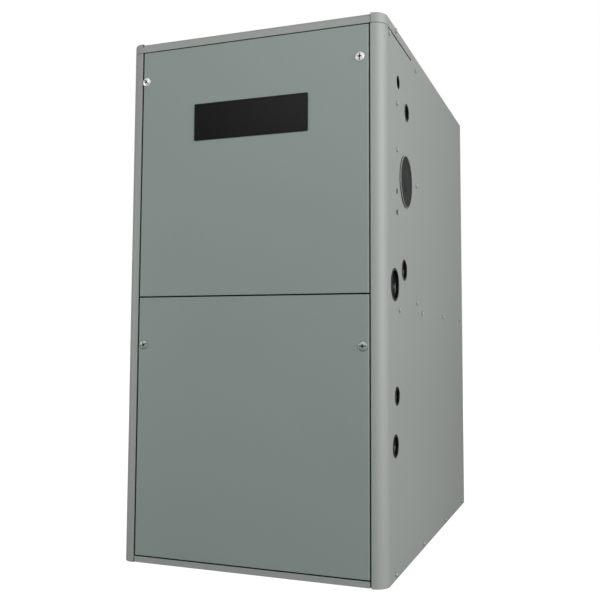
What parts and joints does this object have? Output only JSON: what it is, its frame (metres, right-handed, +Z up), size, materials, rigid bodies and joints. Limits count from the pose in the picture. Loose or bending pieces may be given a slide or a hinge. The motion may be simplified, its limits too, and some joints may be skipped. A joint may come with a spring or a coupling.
{
  "type": "forced air gas furnace",
  "caption": "Upflow gas furnace in a sheet steel cabinet with two lift-off doors, burners and heat exchanger above, centrifugal blower below.",
  "frame": {"origin": "on the floor under the middle of the cabinet", "axes": "+Z up, -Y out of the doors, +X to the right of someone who faces the doors"},
  "size_m": [0.4502, 0.7166, 0.8656],
  "materials": {
    "cabinet_paint": "satin grey powder coat",
    "door_paint": "satin grey-green powder coat",
    "galvanised_steel": "spangled zinc coat",
    "zinc_screws": "bright zinc plate",
    "heat_steel": "aluminised steel, dull",
    "coil_metal": "bright fins and stainless tubes",
    "valve_metal": "cast, matt",
    "pipe_iron": "black iron pipe",
    "motor_paint": "black enamel",
    "brass": "machined",
    "black_plastic": "moulded, fine texture",
    "vent_cover_paint": "dark cover in a grey ring",
    "badge_black": "bare black plate",
    "red_plastic": "moulded",
    "white_plastic": "moulded",
    "ceramic": "glazed ceramic and steel probe",
    "foil_insulation": "foil faced glass wool",
    "rubber": "soft black rubber",
    "wire_sleeve": "black sleeved cable",
    "board_green": "green board with black parts",
    "capacitor_can": "drawn can"
  },
  "bodies": {
    "cabinet": {"side_panels": "cabinet_paint", "back_panel": "cabinet_paint", "top_cap": "cabinet_paint", "front_rails": "cabinet_paint", "vestibule_panel": "galvanised_steel", "blower_deck": "galvanised_steel", "bottom_pan": "galvanised_steel", "frame_brackets": "galvanised_steel", "insulation_liners": "foil_insulation", "cabinet_screws": "zinc_screws", "hole_plugs": "black_plastic", "vent_hole_caps": "vent_cover_paint", "heat_tubes": "heat_steel", "transition_box": "heat_steel", "secondary_coil": "coil_metal", "collector_box": "black_plastic", "burners": "galvanised_steel", "burner_box": "galvanised_steel", "manifold": "pipe_iron", "gas_orifices": "brass", "gas_valve": "valve_metal", "burner_probes": "ceramic", "limit_switches": "black_plastic", "pressure_switch": "black_plastic", "hoses": "rubber", "inducer_housing": "black_plastic", "inducer_motor": "motor_paint", "hose_clamps": "zinc_screws", "vent_pipe": "white_plastic", "cap_collars": "black_plastic", "condensate_trap": "black_plastic", "blower_sides": "galvanised_steel", "blower_wrap": "galvanised_steel", "blower_motor": "motor_paint", "motor_mount": "zinc_screws", "junction_box": "galvanised_steel", "control_panel": "galvanised_steel", "control_board": "board_green", "transformer": "motor_paint", "run_capacitor": "capacitor_can", "door_switch": "black_plastic", "wiring": "wire_sleeve"},
    "upper_door": {"upper_door": "door_paint", "upper_door_insulation": "foil_insulation", "badge_plate": "badge_black"},
    "lower_door": {"lower_door": "door_paint", "lower_door_insulation": "foil_insulation"},
    "upper_screw_left": {"upper_screw_left": "zinc_screws"},
    "upper_screw_right": {"upper_screw_right": "zinc_screws"},
    "lower_screw_left": {"lower_screw_left": "zinc_screws"},
    "lower_screw_right": {"lower_screw_right": "zinc_screws"},
    "blower_rotor": {"blower_wheel": "galvanised_steel", "blower_shaft": "zinc_screws"},
    "inducer_rotor": {"inducer_wheel": "valve_metal", "inducer_shaft": "zinc_screws", "cooling_fan": "black_plastic"},
    "valve_knob": {"valve_knob": "red_plastic"},
    "left_reset_button": {"left_reset_button": "red_plastic"},
    "right_reset_button": {"right_reset_button": "red_plastic"},
    "door_switch_button": {"door_switch_button": "white_plastic"}
  },
  "joints": [
    {"name": "upper_door_slide", "type": "slide", "parent": "cabinet", "child": "upper_door", "axis": [0, -1, 0], "range_m": [0, 0.25]},
    {"name": "lower_door_slide", "type": "slide", "parent": "cabinet", "child": "lower_door", "axis": [0, -1, 0], "range_m": [0, 0.25]},
    {"name": "upper_left_screw_turn", "type": "hinge", "parent": "upper_door", "child": "upper_screw_left", "pos_m": [-0.19095, -0.3556, 0.796], "axis": [0, -1, 0], "continuous": true},
    {"name": "upper_right_screw_turn", "type": "hinge", "parent": "upper_door", "child": "upper_screw_right", "pos_m": [0.18355, -0.3556, 0.796], "axis": [0, -1, 0], "continuous": true},
    {"name": "lower_left_screw_turn", "type": "hinge", "parent": "lower_door", "child": "lower_screw_left", "pos_m": [-0.18725, -0.3556, 0.3524], "axis": [0, -1, 0], "continuous": true},
    {"name": "lower_right_screw_turn", "type": "hinge", "parent": "lower_door", "child": "lower_screw_right", "pos_m": [0.18725, -0.3556, 0.3524], "axis": [0, -1, 0], "continuous": true},
    {"name": "blower_spin", "type": "hinge", "parent": "cabinet", "child": "blower_rotor", "pos_m": [0, 0.06, 0.222], "axis": [1, 0, 0], "continuous": true},
    {"name": "inducer_spin", "type": "hinge", "parent": "cabinet", "child": "inducer_rotor", "pos_m": [0.10025, -0.2316, 0.5104], "axis": [0, 1, 0], "continuous": true},
    {"name": "gas_knob_turn", "type": "hinge", "parent": "cabinet", "child": "valve_knob", "pos_m": [-0.147, -0.2736, 0.7434], "axis": [0, -1, 0], "range_deg": [0, 90]},
    {"name": "left_reset_press", "type": "slide", "parent": "cabinet", "child": "left_reset_button", "axis": [0, 0, -1], "range_m": [0, 0.0015], "stiffness_N_per_m": 300, "springref_m": -0.002},
    {"name": "right_reset_press", "type": "slide", "parent": "cabinet", "child": "right_reset_button", "axis": [0, 0, -1], "range_m": [0, 0.0015], "stiffness_N_per_m": 300, "springref_m": -0.002},
    {"name": "door_switch_press", "type": "slide", "parent": "cabinet", "child": "door_switch_button", "axis": [0, 1, 0], "range_m": [0, 0.003], "stiffness_N_per_m": 300, "springref_m": -0.002}
  ]
}
